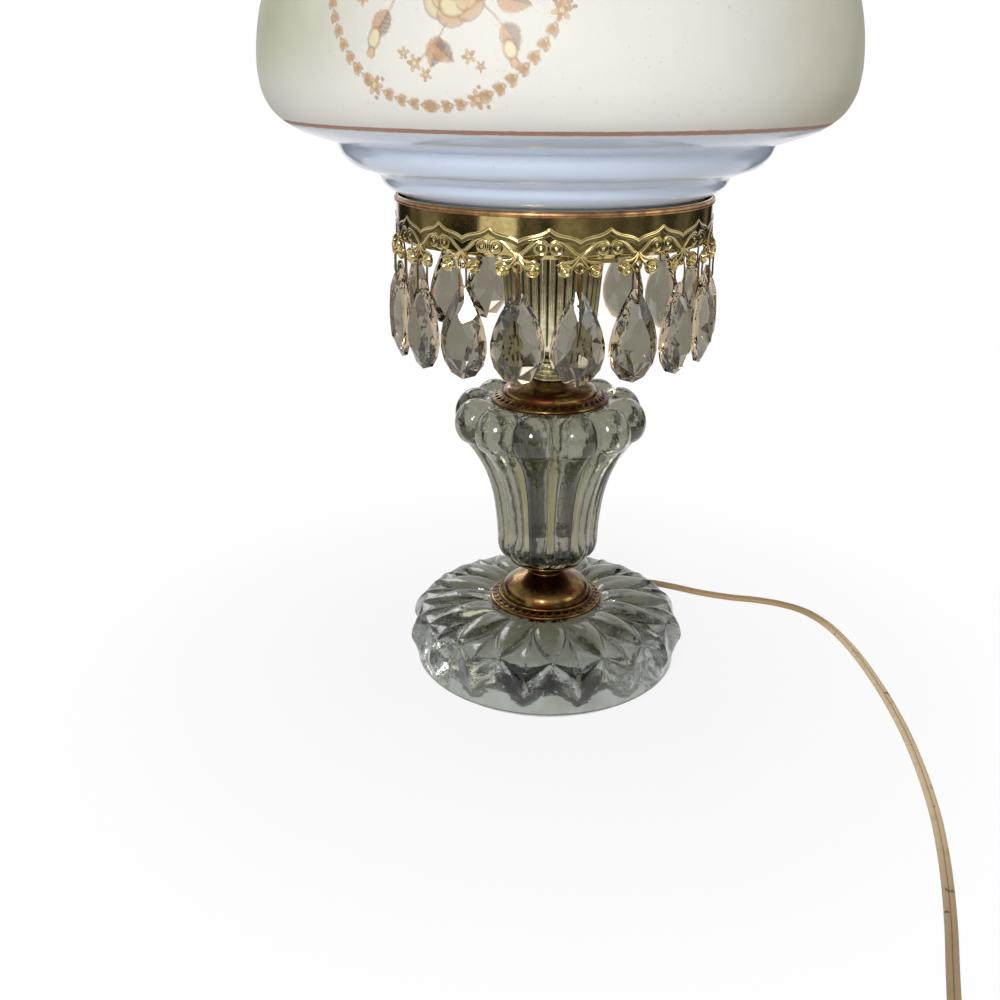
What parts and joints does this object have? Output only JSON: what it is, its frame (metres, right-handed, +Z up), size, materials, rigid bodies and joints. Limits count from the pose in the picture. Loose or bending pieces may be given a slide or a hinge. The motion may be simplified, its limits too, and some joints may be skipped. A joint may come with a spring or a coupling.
{
  "type": "boudoir table lamp",
  "caption": "Boudoir table lamp: pressed glass foot and vase, fluted brass cup, gallery ring hung with glass drops, lift-off milk-glass shade and coiled mains cord.",
  "frame": {"origin": "centre of the foot's underside, on the table", "axes": "+Z up the lamp's axis, -Y towards the front, +X to the right as seen from the front"},
  "size_m": [0.288, 0.4352, 0.3703],
  "materials": {
    "clear_glass": "clear pressed glass with a grey-green tint",
    "crystal_glass": "cut clear glass with a warm champagne tint",
    "milk_glass": "opal glass, satin on the belly and glossy on the stepped rings",
    "bulb_glass": "white frosted bulb glass",
    "porcelain": "white porcelain socket body",
    "aged_brass": "brass with an orange-brown patina",
    "polished_brass": "bright lacquered brass with an olive cast",
    "plain_brass": "plain drawn brass",
    "blade_brass": "stamped brass contact blades",
    "steel": "zinc-plated steel",
    "brown_plastic": "dark brown moulded plastic",
    "cord_plastic": "tan vinyl, flat two-wire cord"
  },
  "bodies": {
    "lamp": {"foot_glass": "clear_glass", "vase_glass": "clear_glass", "socket_core": "porcelain", "foot_washer": "steel", "foot_nut": "steel", "threaded_pipe": "steel", "foot_cap": "aged_brass", "waist_spool": "aged_brass", "vase_cap": "aged_brass", "neck_collar": "polished_brass", "fluted_cup": "polished_brass", "gallery_ring": "polished_brass", "gallery_spider": "plain_brass", "socket_cap": "plain_brass", "socket_shell": "plain_brass", "cord_bushing": "brown_plastic", "plug_body": "brown_plastic", "power_cord": "cord_plastic", "cord_coil": "cord_plastic", "plug_blade_left": "blade_brass", "plug_blade_right": "blade_brass"},
    "shade": {"milk_shade": "milk_glass"},
    "key": {"socket_key": "plain_brass"},
    "bulb": {"light_bulb": "bulb_glass"},
    "pendant_01": {"crystal_01": "crystal_glass", "hanger_01": "plain_brass"},
    "pendant_02": {"crystal_02": "crystal_glass", "hanger_02": "plain_brass"},
    "pendant_03": {"crystal_03": "crystal_glass", "hanger_03": "plain_brass"},
    "pendant_04": {"crystal_04": "crystal_glass", "hanger_04": "plain_brass"},
    "pendant_05": {"crystal_05": "crystal_glass", "hanger_05": "plain_brass"},
    "pendant_06": {"crystal_06": "crystal_glass", "hanger_06": "plain_brass"},
    "pendant_07": {"crystal_07": "crystal_glass", "hanger_07": "plain_brass"},
    "pendant_08": {"crystal_08": "crystal_glass", "hanger_08": "plain_brass"},
    "pendant_09": {"crystal_09": "crystal_glass", "hanger_09": "plain_brass"},
    "pendant_10": {"crystal_10": "crystal_glass", "hanger_10": "plain_brass"},
    "pendant_11": {"crystal_11": "crystal_glass", "hanger_11": "plain_brass"},
    "pendant_12": {"crystal_12": "crystal_glass", "hanger_12": "plain_brass"},
    "pendant_13": {"crystal_13": "crystal_glass", "hanger_13": "plain_brass"},
    "pendant_14": {"crystal_14": "crystal_glass", "hanger_14": "plain_brass"},
    "pendant_15": {"crystal_15": "crystal_glass", "hanger_15": "plain_brass"},
    "pendant_16": {"crystal_16": "crystal_glass", "hanger_16": "plain_brass"},
    "pendant_17": {"crystal_17": "crystal_glass", "hanger_17": "plain_brass"},
    "pendant_18": {"crystal_18": "crystal_glass", "hanger_18": "plain_brass"}
  },
  "joints": [
    {"name": "shade_lift", "type": "slide", "parent": "lamp", "child": "shade", "axis": [0, 0, 1], "range_m": [0, 0.12]},
    {"name": "key_turn", "type": "hinge", "parent": "lamp", "child": "key", "pos_m": [0, 0.032, 0.17165], "axis": [0, 1, 0], "continuous": true},
    {"name": "bulb_turn", "type": "hinge", "parent": "lamp", "child": "bulb", "pos_m": [0, 0, 0.2], "axis": [0, 0, 1], "continuous": true},
    {"name": "pendant_01_swing", "type": "hinge", "parent": "lamp", "child": "pendant_01", "pos_m": [0.01043, -0.0674, 0.20776], "axis": [-0.9882, -0.153, 0], "range_deg": [-5, 30]},
    {"name": "pendant_02_swing", "type": "hinge", "parent": "lamp", "child": "pendant_02", "pos_m": [0.03286, -0.05976, 0.20776], "axis": [-0.8763, -0.4818, 0], "range_deg": [-5, 30]},
    {"name": "pendant_03_swing", "type": "hinge", "parent": "lamp", "child": "pendant_03", "pos_m": [0.05131, -0.04492, 0.20776], "axis": [-0.6587, -0.7524, 0], "range_deg": [-5, 30]},
    {"name": "pendant_04_swing", "type": "hinge", "parent": "lamp", "child": "pendant_04", "pos_m": [0.06358, -0.02466, 0.20776], "axis": [-0.3616, -0.9323, 0], "range_deg": [-5, 30]},
    {"name": "pendant_05_swing", "type": "hinge", "parent": "lamp", "child": "pendant_05", "pos_m": [0.06818, -0.00143, 0.20776], "axis": [-0.0209, -0.9998, 0], "range_deg": [-5, 30]},
    {"name": "pendant_06_swing", "type": "hinge", "parent": "lamp", "child": "pendant_06", "pos_m": [0.06456, 0.02198, 0.20776], "axis": [0.3223, -0.9466, 0], "range_deg": [-5, 30]},
    {"name": "pendant_07_swing", "type": "hinge", "parent": "lamp", "child": "pendant_07", "pos_m": [0.05315, 0.04273, 0.20776], "axis": [0.6266, -0.7793, 0], "range_deg": [-5, 30]},
    {"name": "pendant_08_swing", "type": "hinge", "parent": "lamp", "child": "pendant_08", "pos_m": [0.03533, 0.05834, 0.20776], "axis": [0.8554, -0.518, 0], "range_deg": [-5, 30]},
    {"name": "pendant_09_swing", "type": "hinge", "parent": "lamp", "child": "pendant_09", "pos_m": [0.01325, 0.0669, 0.20776], "axis": [0.981, -0.1942, 0], "range_deg": [-5, 30]},
    {"name": "pendant_10_swing", "type": "hinge", "parent": "lamp", "child": "pendant_10", "pos_m": [-0.01043, 0.0674, 0.20776], "axis": [0.9882, 0.153, 0], "range_deg": [-5, 30]},
    {"name": "pendant_11_swing", "type": "hinge", "parent": "lamp", "child": "pendant_11", "pos_m": [-0.03286, 0.05976, 0.20776], "axis": [0.8763, 0.4818, 0], "range_deg": [-5, 30]},
    {"name": "pendant_12_swing", "type": "hinge", "parent": "lamp", "child": "pendant_12", "pos_m": [-0.05131, 0.04492, 0.20776], "axis": [0.6587, 0.7524, 0], "range_deg": [-5, 30]},
    {"name": "pendant_13_swing", "type": "hinge", "parent": "lamp", "child": "pendant_13", "pos_m": [-0.06358, 0.02466, 0.20776], "axis": [0.3616, 0.9323, 0], "range_deg": [-5, 30]},
    {"name": "pendant_14_swing", "type": "hinge", "parent": "lamp", "child": "pendant_14", "pos_m": [-0.06818, 0.00143, 0.20776], "axis": [0.0209, 0.9998, 0], "range_deg": [-5, 30]},
    {"name": "pendant_15_swing", "type": "hinge", "parent": "lamp", "child": "pendant_15", "pos_m": [-0.06456, -0.02198, 0.20776], "axis": [-0.3223, 0.9466, 0], "range_deg": [-5, 30]},
    {"name": "pendant_16_swing", "type": "hinge", "parent": "lamp", "child": "pendant_16", "pos_m": [-0.05315, -0.04273, 0.20776], "axis": [-0.6266, 0.7793, 0], "range_deg": [-5, 30]},
    {"name": "pendant_17_swing", "type": "hinge", "parent": "lamp", "child": "pendant_17", "pos_m": [-0.03533, -0.05834, 0.20776], "axis": [-0.8554, 0.518, 0], "range_deg": [-5, 30]},
    {"name": "pendant_18_swing", "type": "hinge", "parent": "lamp", "child": "pendant_18", "pos_m": [-0.01325, -0.0669, 0.20776], "axis": [-0.981, 0.1942, 0], "range_deg": [-5, 30]}
  ]
}
